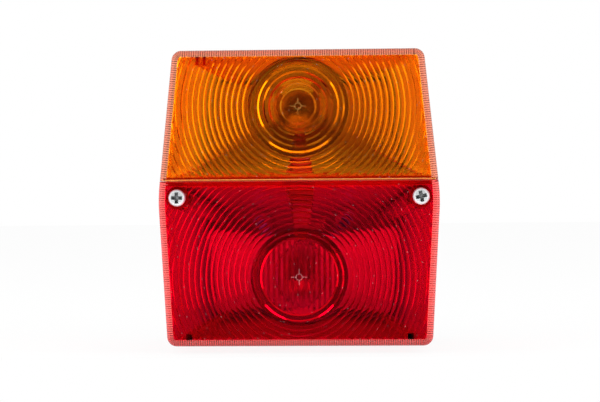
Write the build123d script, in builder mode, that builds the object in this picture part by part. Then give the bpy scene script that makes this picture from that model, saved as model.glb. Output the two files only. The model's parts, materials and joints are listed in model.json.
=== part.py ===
from build123d import *
import os
from math import acos, atan2, cos, hypot, radians, sin, sqrt, tan

# Tail light cluster: a six-sided lamp for a flat panel, with an amber direction indicator over a red
# tail and stop light.
# Frame: X across the lamp, Z up, the mounting panel is the plane Y = 0 and the lamp looks along -Y.
# "Depth" below is the distance in front of the mounting panel, so depth = -Y.

# Driving dimensions, in millimetres and degrees

# Outline of the lens, seen from the front, at its front face
lens_height = 105.0
lens_width_top = 89.0
lens_width_waist = 100.0
lens_width_bottom = 94.0
lens_corner_radius = 3.5
lens_waist_radius = 60.0

# Lens mouldings
lens_front_thickness = 2.4
lens_wall = 2.0
lens_draft = 1.0
lens_edge_radius = 2.0
lens_joint_z = 6.3
amber_joint_wall = 1.2
red_joint_wall = 1.8
joint_wall_length = 4.0
guide_rib_thickness = 1.1
guide_rib_height = 3.2
guide_rib_gap = 1.4
guide_rib_inset = 10.0
foot_rib_thickness = 2.2
foot_rib_height = 2.4
foot_rib_inset = 7.7
bulb_front_clearance = 3.1

# Lens optics: saw-tooth rings around each lamp axis, which focus near the axis and spread further out
ring_pitch = 2.0
focus_radius = 18.0
focus_curvature = 34.0
spread_tooth_height = 0.25
spread_tooth_growth = 0.022
amber_axis_inset = 20.1
amber_centre_radius = 5.9
amber_centre_bulge = 0.6
red_axis_inset = 24.5
red_centre_radius = 13.3
red_flute_pitch = 1.9
red_flute_height = 0.35

# Pieces of one moulding run this far into each other, so that they join
bond = 0.2

# Lens screws
screw_inset = 6.75
screw_z = 0.3
screw_head_diameter = 6.0
screw_head_height = 2.2
screw_head_edge_radius = 0.9
screw_diameter = 2.9
screw_length = 22.0
screw_recess_depth = 1.8
screw_head_clearance = 0.5
screw_shank_clearance = 0.2
screw_thread_clearance = 0.05
screw_end_clearance = 1.0
screw_boss_diameter = 8.0
screw_boss_length = 4.0
cross_recess_span = 3.6
cross_recess_width = 1.0
cross_recess_depth = 1.3
right_screw_turn = 12.0

# Base housing
base_floor = 2.5
base_rim_height = 10.5
base_lip = 1.4
base_inner_wall = 1.4
base_back_chamfer = 0.6
rim_clearance = 0.25
skirt_engagement = 2.6
groove_web = 2.5
rim_rib_thickness = 1.2
rim_rib_spacing = 20.0
seal_thickness = 1.5
seal_side_gap = 0.15
partition_thickness = 1.6
partition_slot_clearance = 0.5
partition_side_clearance = 0.5
front_clearance = 0.05
tongue_length = 7.0
tongue_clearance = 0.2
rib_end_clearance = 1.0

# Bulb wells, round collars on the floor of the base
well_clearance = 3.9
well_wall = 1.6
well_height = 14.5
contact_way_clearance = 0.6
contact_way_height = 4.5

# Reflectors, light plates on the collars
reflector_thickness = 1.2
reflector_inset = 5.0
reflector_corner_radius = 4.0
reflector_gap = 0.7
reflector_hole_clearance = 3.0
spigot_length = 3.0
spigot_clearance = 0.1

# Fixing holes and cable entry
fixing_spacing = 45.0
fixing_z = -2.0
fixing_hole_diameter = 5.5
fixing_boss_wall = 2.75
fixing_boss_height = 4.5
cable_inset = 17.0
cable_boss_gap = 1.0
cable_hole_diameter = 10.0
grommet_clearance = 0.1
grommet_flange_width = 1.8
grommet_flange_thickness = 2.0
grommet_bore_diameter = 6.0
grommet_nozzle_wall = 1.2
grommet_nozzle_length = 3.5

# Earth strip and bulb sockets, stamped steel
strip_stand_off = 4.0
strip_thickness = 0.8
strip_width = 10.0
strip_bend_radius = 1.1
strip_eye_width = 3.0
strip_pad_length = 8.0
strip_rivet_offset = 19.2
strip_rivet_diameter = 3.0
strip_rivet_head_diameter = 5.0
strip_rivet_head_height = 1.2
strip_rivet_length = 4.0
rivet_clearance = 0.05
earth_blade_x = 12.0
earth_blade_z = -2.5
socket_clearance = 0.3
socket_wall = 0.7
socket_flange_width = 1.8
socket_length = 13.5
socket_eye_clearance = 0.05
pin_clearance = 0.2
pin_seat_clearance = 0.05

# Contacts, stamped brass leaf springs with blade terminals
contact_thickness = 0.6
contact_width = 4.8
contact_blade_x = 25.0
contact_blade_height = 11.5
contact_lift_start = 11.0
contact_lift_end = 5.6
contact_overrun = 2.2
contact_rivet_x = 21.0
contact_rivet_diameter = 2.0
contact_rivet_head_diameter = 3.8
contact_rivet_head_height = 0.8
contact_rivet_length = 1.8
contact_gap = 0.05

# Bulbs with bayonet caps
bulb_seat_height = 0.5
bulb_length = 47.5
bulb_glass_diameter = 25.0
bulb_glass_wall = 0.7
bulb_neck_clearance = 0.05
bulb_neck_rise = 1.5
bulb_cap_diameter = 15.0
bulb_cap_wall = 0.5
bulb_cap_length = 16.5
bulb_tip_height = 1.0
bulb_tip_diameter = 4.4
bulb_tip_spacing = 7.2
bulb_insulator_thickness = 2.2
bulb_pin_diameter = 2.0
bulb_pin_reach = 1.1
bulb_pin_height = 7.5
bulb_pin_stagger = 3.0
stem_flare_height = 2.5
stem_diameter = 6.4
stem_height = 9.0
filament_height = 31.8
filament_length = 5.0
filament_diameter = 1.0
filament_spacing = 3.2
support_wire_diameter = 0.7

# Derived places across the lamp
amber_axis_z = lens_height / 2 - amber_axis_inset
red_axis_z = red_axis_inset - lens_height / 2
axis_places = ((0, amber_axis_z), (0, red_axis_z))
screw_x = lens_width_waist / 2 - screw_inset
screw_places = ((-screw_x, screw_z), (screw_x, screw_z))
upper_rivet_z = amber_axis_z - strip_rivet_offset
lower_rivet_z = red_axis_z + strip_rivet_offset
strip_rivet_places = ((0, upper_rivet_z), (0, lower_rivet_z))
contact_rivet_places = (
    (-contact_rivet_x, amber_axis_z),
    (-contact_rivet_x, red_axis_z),
    (contact_rivet_x, red_axis_z),
)
guide_rib_x = guide_rib_inset - lens_width_top / 2
foot_rib_x = lens_width_bottom / 2 - foot_rib_inset
partition_slot_width = strip_width + 2 * partition_slot_clearance

# Derived radii
well_inner_radius = bulb_glass_diameter / 2 + well_clearance
well_outer_radius = well_inner_radius + well_wall
reflector_hole_radius = bulb_glass_diameter / 2 + reflector_hole_clearance
socket_bore_radius = bulb_cap_diameter / 2 + socket_clearance
socket_outer_radius = socket_bore_radius + socket_wall
eye_hole_radius = socket_outer_radius + socket_eye_clearance
eye_outer_radius = eye_hole_radius + strip_eye_width
cap_bore_radius = bulb_cap_diameter / 2 - bulb_cap_wall
neck_radius = cap_bore_radius - bulb_neck_clearance
cable_hole_radius = cable_hole_diameter / 2
grommet_flange_radius = cable_hole_radius + grommet_flange_width
fixing_boss_radius = fixing_hole_diameter / 2 + fixing_boss_wall

# The cable entry lies below and outside the left fixing boss
cable_x = cable_inset - lens_width_waist / 2
cable_z = fixing_z - fixing_boss_radius - cable_boss_gap - grommet_flange_radius

# Derived depths, from the panel forward
strip_depth = base_floor + strip_stand_off
strip_front = strip_depth + strip_thickness
bulb_start = strip_depth + bulb_seat_height
bulb_end = bulb_start + bulb_length
cap_start = bulb_start + bulb_tip_height
cap_end = cap_start + bulb_cap_length
pin_depth = bulb_start + bulb_pin_height
neck_start = cap_start + bulb_insulator_thickness
stem_end = neck_start + stem_flare_height + stem_height
filament_depth = bulb_start + filament_height
front_inside = bulb_end + bulb_front_clearance
overall_depth = front_inside + lens_front_thickness
base_rim_depth = base_floor + base_rim_height
lens_rim_depth = base_rim_depth - skirt_engagement
groove_floor = lens_rim_depth - seal_thickness
screw_seat = overall_depth - screw_recess_depth
post_top = front_inside - screw_boss_length - front_clearance
partition_top = front_inside - joint_wall_length - front_clearance
rib_start = base_rim_depth + rib_end_clearance
well_rim_depth = base_floor + well_height
blade_end = base_floor + contact_blade_height

# The outline grows from the front face to the rim by the draft
lens_skirt = overall_depth - lens_rim_depth
rim_growth = lens_skirt * tan(radians(lens_draft))
groove_outer = rim_growth + rim_clearance
groove_inner = rim_growth - lens_wall - rim_clearance


def front_plane(depth):
    """Plane parallel to the panel: local x is X, local y is Z, and extrusions go forward."""
    return Plane.XZ.offset(depth)


def axis_plane(z):
    """Level plane at a height: local x is X and local y is depth."""
    return Plane(origin=(0, 0, z), x_dir=(1, 0, 0), z_dir=(0, 0, -1))


def forward_axis(x, z):
    return Axis((x, 0, z), (0, -1, 0))


def half_width(z, grow):
    """Half the outline's width at a height, with the outline grown outward."""
    far_width = lens_width_top if z > 0 else lens_width_bottom
    slope = (lens_width_waist - far_width) / lens_height
    return lens_width_waist / 2 + grow * sqrt(1 + slope**2) - slope * abs(z)


def outline_face(grow):
    """The lamp's six-sided outline, grown outward by a distance, as a flat face."""
    top = lens_height / 2 + grow
    right = [(half_width(z, grow), z) for z in (top, 0, -top)]
    left = [(-x, z) for x, z in reversed(right)]
    with BuildSketch() as outline:
        with BuildLine():
            Polyline(*right, *left, close=True)
        make_face()
        fillet(outline.vertices().group_by(Axis.Y)[1], radius=lens_waist_radius + grow)
        levels = outline.vertices().group_by(Axis.Y)
        fillet(levels[0] + levels[-1], radius=lens_corner_radius + grow)
    return outline.sketch


def ring_tooth(radius):
    """Slope of one ring, from its inner to its outer edge: tallest inside near the axis, outside further out."""
    edge = radius + ring_pitch
    if (radius + edge) / 2 < focus_radius:
        return (radius, front_inside - ring_pitch * radius / focus_curvature), (edge, front_inside)
    return (radius, front_inside), (edge, front_inside - spread_tooth_height - spread_tooth_growth * edge)


def ring_teeth(first_radius):
    """Half section of all the rings round an axis, closed by their foot in the lens front."""
    reach = hypot(lens_width_waist, lens_height)
    points = []
    radius = first_radius
    while radius < reach:
        start, end = ring_tooth(radius)
        if start not in points[-1:]:
            points.append(start)
        points.append(end)
        radius += ring_pitch
    return points + [(radius, front_inside + bond), (first_radius, front_inside + bond)]


def bent_strip(points, thickness):
    """Side view of a bent strip: the line through the points, thickened to its left."""
    with BuildSketch() as section:
        with BuildLine():
            FilletPolyline(*points, radius=strip_bend_radius)
            offset(amount=thickness, side=Side.LEFT)
        make_face()
    return section.sketch


def glass_line(inset):
    """Corner points of half the glass, moved inward: end of neck, shoulder, globe's start, middle and top."""
    radius = bulb_glass_diameter / 2 - inset
    neck = neck_radius - inset
    centre = bulb_end - bulb_glass_diameter / 2
    shoulder = cap_end + bulb_neck_rise
    start_angle = acos(radius / hypot(neck, centre - shoulder)) - atan2(centre - shoulder, neck)
    middle_angle = (start_angle + radians(90)) / 2
    start = (radius * cos(start_angle), centre + radius * sin(start_angle))
    middle = (radius * cos(middle_angle), centre + radius * sin(middle_angle))
    return (neck, neck_start), (neck, shoulder), start, middle, (0, centre + radius)


def drafted_block(grow, length):
    """Block from the rim of the lens forward, with the outline's sides drawn in by the draft."""
    with BuildPart() as block:
        with BuildSketch(front_plane(lens_rim_depth)):
            add(outline_face(grow))
        extrude(amount=length)
        sides = block.faces().filter_by(Axis.Y, reverse=True)
        draft(sides, neutral_plane=front_plane(lens_rim_depth), angle=lens_draft)
    return block.part


# Lens skin: both lenses before they are parted, an open box with drafted walls and a rounded front edge
with BuildPart() as lens_skin:
    add(drafted_block(rim_growth, lens_skirt))
    fillet(lens_skin.faces().sort_by(Axis.Y)[0].edges(), radius=lens_edge_radius)
    add(drafted_block(rim_growth - lens_wall, lens_skirt - lens_front_thickness), mode=Mode.SUBTRACT)


def ring_optics(axis_z, first_radius):
    """Rings round a lamp axis, on the inside of the lens front, trimmed to the lens walls."""
    with BuildPart() as optics:
        with BuildSketch(axis_plane(axis_z)):
            with BuildLine():
                Polyline(*ring_teeth(first_radius), close=True)
            make_face()
        revolve(axis=forward_axis(0, axis_z))
        with BuildSketch(front_plane(front_inside - joint_wall_length)):
            add(outline_face(bond - lens_wall))
        extrude(amount=joint_wall_length + bond, mode=Mode.INTERSECT)
    return optics.part


def joint_wall(thickness, side):
    """Wall along the joint of the two lenses, reaching back from the lens front."""
    width = 2 * (half_width(lens_joint_z, -lens_wall) + bond)
    with BuildPart() as wall:
        with BuildSketch(front_plane(front_inside - joint_wall_length)):
            with Locations((0, lens_joint_z + side * thickness / 2)):
                Rectangle(width, thickness)
        extrude(amount=joint_wall_length + bond)
    return wall.part


joint_plane = Plane.XY.offset(lens_joint_z)

# Amber lens: rings round a small bulging centre, and a pair of guide ribs under the top wall
with BuildPart() as amber_lens:
    add(lens_skin.part)
    add(ring_optics(amber_axis_z, amber_centre_radius))
    add(joint_wall(amber_joint_wall, 1))
    with BuildSketch(axis_plane(amber_axis_z)):
        with BuildLine():
            bulge_top = (0, front_inside - amber_centre_bulge)
            rim = (amber_centre_radius, front_inside)
            RadiusArc(bulge_top, rim, (rim[0] ** 2 + amber_centre_bulge**2) / (2 * amber_centre_bulge))
            Polyline(rim, (rim[0], front_inside + bond), (0, front_inside + bond), bulge_top)
        make_face()
    revolve(axis=forward_axis(0, amber_axis_z))
    rib_top = lens_height / 2 - lens_wall / 2
    rib_bottom = lens_height / 2 - lens_wall - guide_rib_height
    with BuildSketch(front_plane(rib_start)):
        with Locations((guide_rib_x, (rib_top + rib_bottom) / 2)):
            with GridLocations(guide_rib_gap + guide_rib_thickness, 0, 2, 1):
                Rectangle(guide_rib_thickness, rib_top - rib_bottom)
    extrude(amount=front_inside + bond - rib_start)
    split(bisect_by=joint_plane, keep=Keep.TOP)

# Red lens: rings round a fluted disc, a boss for each lens screw and two foot ribs over the bottom wall
flute_count = round(2 * red_centre_radius / red_flute_pitch)
flute_step = 2 * red_centre_radius / flute_count
flute_points = [(-red_centre_radius, front_inside)]
for flute in range(flute_count):
    crest_x = (flute + 0.5) * flute_step - red_centre_radius
    flute_points.append((crest_x, front_inside - red_flute_height))
    flute_points.append((crest_x + flute_step / 2, front_inside))
flute_points.append((red_centre_radius, front_inside + bond))
flute_points.append((-red_centre_radius, front_inside + bond))

with BuildPart() as red_flutes:
    with BuildSketch(axis_plane(red_axis_z)):
        with BuildLine():
            Polyline(*flute_points, close=True)
        make_face()
    extrude(amount=red_centre_radius, both=True)
    with BuildSketch(front_plane(front_inside - red_flute_height)):
        with Locations((0, red_axis_z)):
            Circle(red_centre_radius)
    extrude(amount=red_flute_height + bond, mode=Mode.INTERSECT)

with BuildPart() as red_lens:
    add(lens_skin.part)
    add(ring_optics(red_axis_z, red_centre_radius))
    add(red_flutes.part)
    add(joint_wall(red_joint_wall, -1))
    foot_bottom = lens_wall / 2 - lens_height / 2
    foot_top = lens_wall + foot_rib_height - lens_height / 2
    with BuildSketch(front_plane(rib_start)):
        with Locations((0, (foot_top + foot_bottom) / 2)):
            with GridLocations(2 * foot_rib_x, 0, 2, 1):
                Rectangle(foot_rib_thickness, foot_top - foot_bottom)
    extrude(amount=front_inside + bond - rib_start)
    with BuildSketch(front_plane(front_inside - screw_boss_length)):
        with Locations(*screw_places):
            Circle(screw_boss_diameter / 2)
    extrude(amount=screw_boss_length + bond)
    with Locations(front_plane(overall_depth)):
        with Locations(*screw_places):
            CounterBoreHole(
                radius=screw_diameter / 2 + screw_shank_clearance,
                counter_bore_radius=screw_head_diameter / 2 + screw_head_clearance,
                counter_bore_depth=screw_recess_depth,
            )
    split(bisect_by=joint_plane, keep=Keep.BOTTOM)

# Lens screws: pan heads with a cross recess
with BuildPart() as lens_screws:
    with BuildSketch(front_plane(screw_seat)):
        with Locations(*screw_places):
            Circle(screw_head_diameter / 2)
    extrude(amount=screw_head_height)
    fillet(lens_screws.faces().group_by(Axis.Y)[0].edges(), radius=screw_head_edge_radius)
    with BuildSketch(front_plane(screw_seat)):
        with Locations(*screw_places):
            Circle(screw_diameter / 2)
    extrude(amount=-screw_length)
    with BuildSketch(front_plane(screw_seat + screw_head_height)):
        for place, turn in zip(screw_places, (0, right_screw_turn)):
            with Locations(place):
                Rectangle(cross_recess_span, cross_recess_width, rotation=turn)
                Rectangle(cross_recess_width, cross_recess_span, rotation=turn)
    extrude(amount=-cross_recess_depth, mode=Mode.SUBTRACT)

# Base housing: a tray with a grooved rim for the lenses, and what stands on its floor
with BuildPart() as base_housing:
    with BuildSketch(front_plane(0)):
        add(outline_face(groove_outer + base_lip))
    extrude(amount=base_rim_depth)
    chamfer(base_housing.faces().sort_by(Axis.Y)[-1].edges(), length=base_back_chamfer)
    with BuildSketch(front_plane(groove_floor)):
        add(outline_face(groove_outer))
        add(outline_face(groove_inner), mode=Mode.SUBTRACT)
    extrude(amount=base_rim_depth - groove_floor, mode=Mode.SUBTRACT)
    with BuildSketch(front_plane(base_floor)):
        add(outline_face(groove_inner - base_inner_wall))
    extrude(amount=base_rim_height, mode=Mode.SUBTRACT)

    # The rim is cored from the back, under the groove, and ribs cross the core
    rib_count = 2 * round(lens_height / 2 / rim_rib_spacing)
    with BuildSketch(front_plane(0)):
        add(outline_face(groove_outer))
        add(outline_face(groove_inner), mode=Mode.SUBTRACT)
        with GridLocations(0, rim_rib_spacing, 1, rib_count):
            Rectangle(2 * lens_width_waist, rim_rib_thickness, mode=Mode.SUBTRACT)
        with GridLocations(rim_rib_spacing, 0, rib_count, 1):
            Rectangle(rim_rib_thickness, 2 * lens_height, mode=Mode.SUBTRACT)
    extrude(amount=groove_floor - groove_web, mode=Mode.SUBTRACT)

    # Collars round the bulbs, open where the earth strip and the contacts pass
    with BuildSketch(front_plane(base_floor - bond)):
        with Locations(*axis_places):
            Circle(well_outer_radius)
            Circle(well_inner_radius, mode=Mode.SUBTRACT)
        with Locations((0, (amber_axis_z + red_axis_z) / 2)):
            Rectangle(partition_slot_width, amber_axis_z - red_axis_z, mode=Mode.SUBTRACT)
    extrude(amount=well_height + bond)
    with BuildSketch(front_plane(base_floor)):
        way_width = contact_width + 2 * contact_way_clearance
        with Locations((-well_outer_radius, amber_axis_z), (0, red_axis_z)):
            Rectangle(2 * well_outer_radius, way_width)
    extrude(amount=contact_way_height, mode=Mode.SUBTRACT)

    # Partition between the two lights, behind the wall of the red lens, with a slot for the earth strip
    partition_z = lens_joint_z - red_joint_wall / 2
    partition_width = 2 * half_width(lens_joint_z, -lens_wall - partition_side_clearance)
    with BuildSketch(front_plane(base_floor - bond)):
        with Locations((0, partition_z)):
            Rectangle(partition_width, partition_thickness)
            Rectangle(partition_slot_width, partition_thickness, mode=Mode.SUBTRACT)
    extrude(amount=partition_top - base_floor + bond)

    # Posts for the lens screws, bosses round the fixing holes, and pads under the earth strip
    with BuildSketch(front_plane(base_floor - bond)):
        with Locations(*screw_places):
            Circle(screw_boss_diameter / 2)
    extrude(amount=post_top - base_floor + bond)
    with BuildSketch(front_plane(base_floor - bond)):
        with Locations((0, fixing_z)):
            with GridLocations(fixing_spacing, 0, 2, 1):
                Circle(fixing_boss_radius)
    extrude(amount=fixing_boss_height + bond)
    eye_pad_offset = (eye_hole_radius + eye_outer_radius) / 2
    with BuildSketch(front_plane(base_floor - bond)):
        with Locations(*strip_rivet_places):
            Rectangle(strip_pad_length, strip_pad_length)
        with Locations((0, amber_axis_z + eye_pad_offset), (0, red_axis_z - eye_pad_offset)):
            Rectangle(strip_pad_length, strip_eye_width)
    extrude(amount=strip_stand_off + bond)

    # Tongue on the inner wall that the guide ribs of the amber lens straddle
    tongue_bottom = lens_height / 2 + groove_inner - base_inner_wall
    tongue_top = lens_height / 2 - lens_wall - tongue_clearance
    with BuildSketch(front_plane(base_rim_depth - bond)):
        with Locations((guide_rib_x, (tongue_bottom + tongue_top) / 2)):
            Rectangle(guide_rib_gap - 2 * tongue_clearance, tongue_top - tongue_bottom)
    extrude(amount=tongue_length + bond)

    # Holes: screw threads, fixing screws, cable entry and rivets
    with Locations(front_plane(post_top)):
        with Locations(*screw_places):
            Hole(
                radius=screw_diameter / 2 + screw_thread_clearance,
                depth=post_top - (screw_seat - screw_length) + screw_end_clearance,
            )
    with Locations(front_plane(base_floor + fixing_boss_height)):
        with Locations((0, fixing_z)):
            with GridLocations(fixing_spacing, 0, 2, 1):
                Hole(radius=fixing_hole_diameter / 2)
    with Locations(front_plane(base_floor)):
        with Locations((cable_x, cable_z)):
            Hole(radius=cable_hole_radius)
        with Locations(*contact_rivet_places):
            Hole(
                radius=contact_rivet_diameter / 2 + rivet_clearance,
                depth=contact_rivet_length + rivet_clearance,
            )
    with Locations(front_plane(strip_depth)):
        with Locations(*strip_rivet_places):
            Hole(
                radius=strip_rivet_diameter / 2 + rivet_clearance,
                depth=strip_rivet_length + rivet_clearance,
            )



def reflector(axis_z, low_z, high_z):
    """Plate on the rim of the collar round a bulb, with a spigot inside the collar."""
    right = [(half_width(z, -reflector_inset), z) for z in (high_z, low_z)]
    left = [(-x, z) for x, z in reversed(right)]
    with BuildPart() as plate:
        with BuildSketch(front_plane(well_rim_depth)) as plate_outline:
            with BuildLine():
                Polyline(*right, *left, close=True)
            make_face()
            fillet(plate_outline.vertices(), radius=reflector_corner_radius)
            with Locations((0, axis_z)):
                Circle(well_outer_radius)
        extrude(amount=reflector_thickness)
        with BuildSketch(front_plane(well_rim_depth - spigot_length)):
            with Locations((0, axis_z)):
                Circle(well_inner_radius - spigot_clearance)
        extrude(amount=spigot_length)
        with BuildSketch(front_plane(well_rim_depth - spigot_length)):
            with Locations((0, axis_z)):
                Circle(reflector_hole_radius)
        extrude(amount=spigot_length + reflector_thickness, mode=Mode.SUBTRACT)
    return plate.part


# The lower reflector leaves the fixing holes free
upper_reflector_top = rib_bottom - reflector_gap
upper_reflector_bottom = lens_joint_z
lower_reflector_top = max(red_axis_z + well_outer_radius, fixing_z - fixing_boss_radius - reflector_gap)
lower_reflector_bottom = foot_top + reflector_gap

# Lens seal: rubber ring on the floor of the groove, under the rim of the lenses
with BuildPart() as lens_seal:
    with BuildSketch(front_plane(groove_floor)):
        add(outline_face(groove_outer - seal_side_gap))
        add(outline_face(groove_inner + seal_side_gap), mode=Mode.SUBTRACT)
    extrude(amount=seal_thickness)

# Cable grommet: sleeve in the floor, flange and nozzle inside
with BuildPart() as cable_grommet:
    sleeve_radius = cable_hole_radius - grommet_clearance
    with BuildSketch(front_plane(grommet_clearance)):
        with Locations((cable_x, cable_z)):
            Circle(sleeve_radius)
    extrude(amount=base_floor)
    with BuildSketch(front_plane(base_floor)):
        with Locations((cable_x, cable_z)):
            Circle(grommet_flange_radius)
    extrude(amount=grommet_flange_thickness)
    with BuildSketch(front_plane(base_floor + grommet_flange_thickness)):
        with Locations((cable_x, cable_z)):
            Circle(grommet_bore_diameter / 2 + grommet_nozzle_wall)
    extrude(amount=grommet_nozzle_length)
    with Locations(front_plane(base_floor + grommet_flange_thickness + grommet_nozzle_length)):
        with Locations((cable_x, cable_z)):
            Hole(radius=grommet_bore_diameter / 2)

# Earth strip: an eye for each socket, two rivet holes and a blade terminal bent forward
with BuildPart() as earth_strip:
    with BuildSketch(front_plane(strip_depth)):
        with Locations((0, (amber_axis_z + red_axis_z) / 2)):
            Rectangle(strip_width, amber_axis_z - red_axis_z)
        with Locations(*axis_places):
            Circle(eye_outer_radius)
        with Locations(*axis_places):
            Circle(eye_hole_radius, mode=Mode.SUBTRACT)
        with Locations(*strip_rivet_places):
            Circle(strip_rivet_diameter / 2 + rivet_clearance, mode=Mode.SUBTRACT)
    extrude(amount=strip_thickness)
    blade_path = (
        (strip_width / 2 - bond, strip_depth),
        (earth_blade_x, strip_depth),
        (earth_blade_x, blade_end),
    )
    with BuildSketch(axis_plane(earth_blade_z)):
        add(bent_strip(blade_path, strip_thickness))
    extrude(amount=contact_width / 2, both=True)

# Rivets: dome heads on the strip and flat heads on the contacts
with BuildPart() as strip_rivets:
    with BuildSketch(front_plane(strip_front)):
        with Locations(*strip_rivet_places):
            Circle(strip_rivet_head_diameter / 2)
    extrude(amount=strip_rivet_head_height)
    chamfer(strip_rivets.faces().group_by(Axis.Y)[0].edges(), length=strip_rivet_head_height / 2)
    with BuildSketch(front_plane(strip_front)):
        with Locations(*strip_rivet_places):
            Circle(strip_rivet_diameter / 2)
    extrude(amount=-strip_thickness - strip_rivet_length)

with BuildPart() as contact_rivets:
    contact_front = base_floor + contact_thickness
    with BuildSketch(front_plane(contact_front)):
        with Locations(*contact_rivet_places):
            Circle(contact_rivet_head_diameter / 2)
    extrude(amount=contact_rivet_head_height)
    with BuildSketch(front_plane(contact_front)):
        with Locations(*contact_rivet_places):
            Circle(contact_rivet_diameter / 2)
    extrude(amount=-contact_thickness - contact_rivet_length)


def bulb_socket(axis_z, pin_drops):
    """Drawn shell with a flange on the earth strip and a slot for each pin of the bulb's cap."""
    with BuildPart() as socket:
        with BuildSketch(front_plane(strip_depth)):
            with Locations((0, axis_z)):
                Circle(socket_outer_radius)
        extrude(amount=strip_thickness + socket_length)
        with BuildSketch(front_plane(strip_front)):
            with Locations((0, axis_z)):
                Circle(socket_outer_radius + socket_flange_width)
        extrude(amount=socket_wall)
        with BuildSketch(front_plane(strip_depth)):
            with Locations((0, axis_z)):
                Circle(socket_bore_radius)
        extrude(amount=strip_thickness + socket_length, mode=Mode.SUBTRACT)
        for side, drop in zip((-1, 1), pin_drops):
            slot_end = pin_depth - drop - bulb_pin_diameter / 2 - pin_seat_clearance
            with BuildSketch(front_plane(slot_end)):
                with Locations((side * socket_outer_radius, axis_z)):
                    Rectangle(2 * socket_bore_radius, bulb_pin_diameter + 2 * pin_clearance)
            extrude(amount=strip_front + socket_length - slot_end, mode=Mode.SUBTRACT)
    return socket.part


def leaf_contact(axis_z, leaf_end):
    """Leaf from a blade terminal on the left, along the floor, and up to the tip of the bulb."""
    leaf_back = bulb_start - contact_gap - contact_thickness
    path = (
        (-contact_blade_x, blade_end),
        (-contact_blade_x, base_floor),
        (-contact_lift_start, base_floor),
        (-contact_lift_end, leaf_back),
        (leaf_end, leaf_back),
    )
    with BuildPart() as contact:
        with BuildSketch(axis_plane(axis_z)):
            add(bent_strip(path, contact_thickness))
        extrude(amount=contact_width / 2, both=True)
        with Locations(front_plane(base_floor + contact_thickness)):
            with Locations((-contact_rivet_x, axis_z)):
                Hole(radius=contact_rivet_diameter / 2 + rivet_clearance, depth=contact_thickness)
    return contact.part


def bulb_glass(axis_z):
    outer = glass_line(0)
    inner = glass_line(bulb_glass_wall)
    with BuildPart() as glass:
        with BuildSketch(axis_plane(axis_z)):
            with BuildLine():
                Polyline(*outer[:3])
                ThreePointArc(*outer[2:])
                Line(outer[4], inner[4])
                ThreePointArc(*inner[2:])
                Polyline(*inner[:3])
                Line(inner[0], outer[0])
            make_face()
        revolve(axis=forward_axis(0, axis_z))
    return glass.part


def bulb_cap(axis_z, pin_drops):
    with BuildPart() as cap:
        with BuildSketch(front_plane(cap_start)):
            with Locations((0, axis_z)):
                Circle(bulb_cap_diameter / 2)
        extrude(amount=bulb_cap_length)
        for side, drop in zip((-1, 1), pin_drops):
            with BuildSketch(Plane.YZ):
                with Locations((drop - pin_depth, axis_z)):
                    Circle(bulb_pin_diameter / 2)
            extrude(amount=side * (bulb_cap_diameter / 2 + bulb_pin_reach))
        with BuildSketch(front_plane(cap_start)):
            with Locations((0, axis_z)):
                Circle(cap_bore_radius)
        extrude(amount=bulb_cap_length, mode=Mode.SUBTRACT)
    return cap.part


def bulb_insulator(axis_z):
    with BuildPart() as insulator:
        with BuildSketch(front_plane(cap_start)):
            with Locations((0, axis_z)):
                Circle(neck_radius)
        extrude(amount=bulb_insulator_thickness)
    return insulator.part


def bulb_tips(axis_z, tips_x):
    """Solder tips under the insulator, rounded where the contacts press on them."""
    with BuildPart() as tips:
        with BuildSketch(front_plane(bulb_start)):
            with Locations(*[(x, axis_z) for x in tips_x]):
                Circle(bulb_tip_diameter / 2)
        extrude(amount=bulb_tip_height)
        chamfer(tips.faces().group_by(Axis.Y)[-1].edges(), length=bulb_tip_height / 2)
    return tips.part


def bulb_stem(axis_z):
    """Glass stem: a flare in the neck of the bulb and the pinch that carries the wires."""
    flare_radius = neck_radius - bulb_glass_wall - bulb_neck_clearance
    flare_end = neck_start + stem_flare_height
    with BuildPart() as stem:
        with BuildSketch(axis_plane(axis_z)):
            with BuildLine():
                Polyline(
                    (0, neck_start),
                    (flare_radius, neck_start),
                    (flare_radius, flare_end),
                    (stem_diameter / 2, flare_end + flare_radius - stem_diameter / 2),
                    (stem_diameter / 2, stem_end),
                    (0, stem_end),
                    close=True,
                )
            make_face()
        revolve(axis=forward_axis(0, axis_z))
    return stem.part


def bulb_filaments(axis_z, offsets):
    """Each filament is a coil between two support wires that stand on the stem."""
    with BuildPart() as filaments:
        for shift in offsets:
            with BuildSketch(front_plane(stem_end)):
                with Locations((0, axis_z + shift)):
                    with GridLocations(filament_length, 0, 2, 1):
                        Circle(support_wire_diameter / 2)
            extrude(amount=filament_depth - stem_end)
            with BuildSketch(Plane.YZ):
                with Locations((-filament_depth, axis_z + shift)):
                    Circle(filament_diameter / 2)
            extrude(amount=(filament_length + support_wire_diameter) / 2, both=True)
    return filaments.part


level_pins = (0, 0)
staggered_pins = (0, bulb_pin_stagger)
twin_tips = (-bulb_tip_spacing / 2, bulb_tip_spacing / 2)
twin_filaments = (-filament_spacing / 2, filament_spacing / 2)
tail_contact = leaf_contact(red_axis_z, contact_overrun - bulb_tip_spacing / 2)

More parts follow.
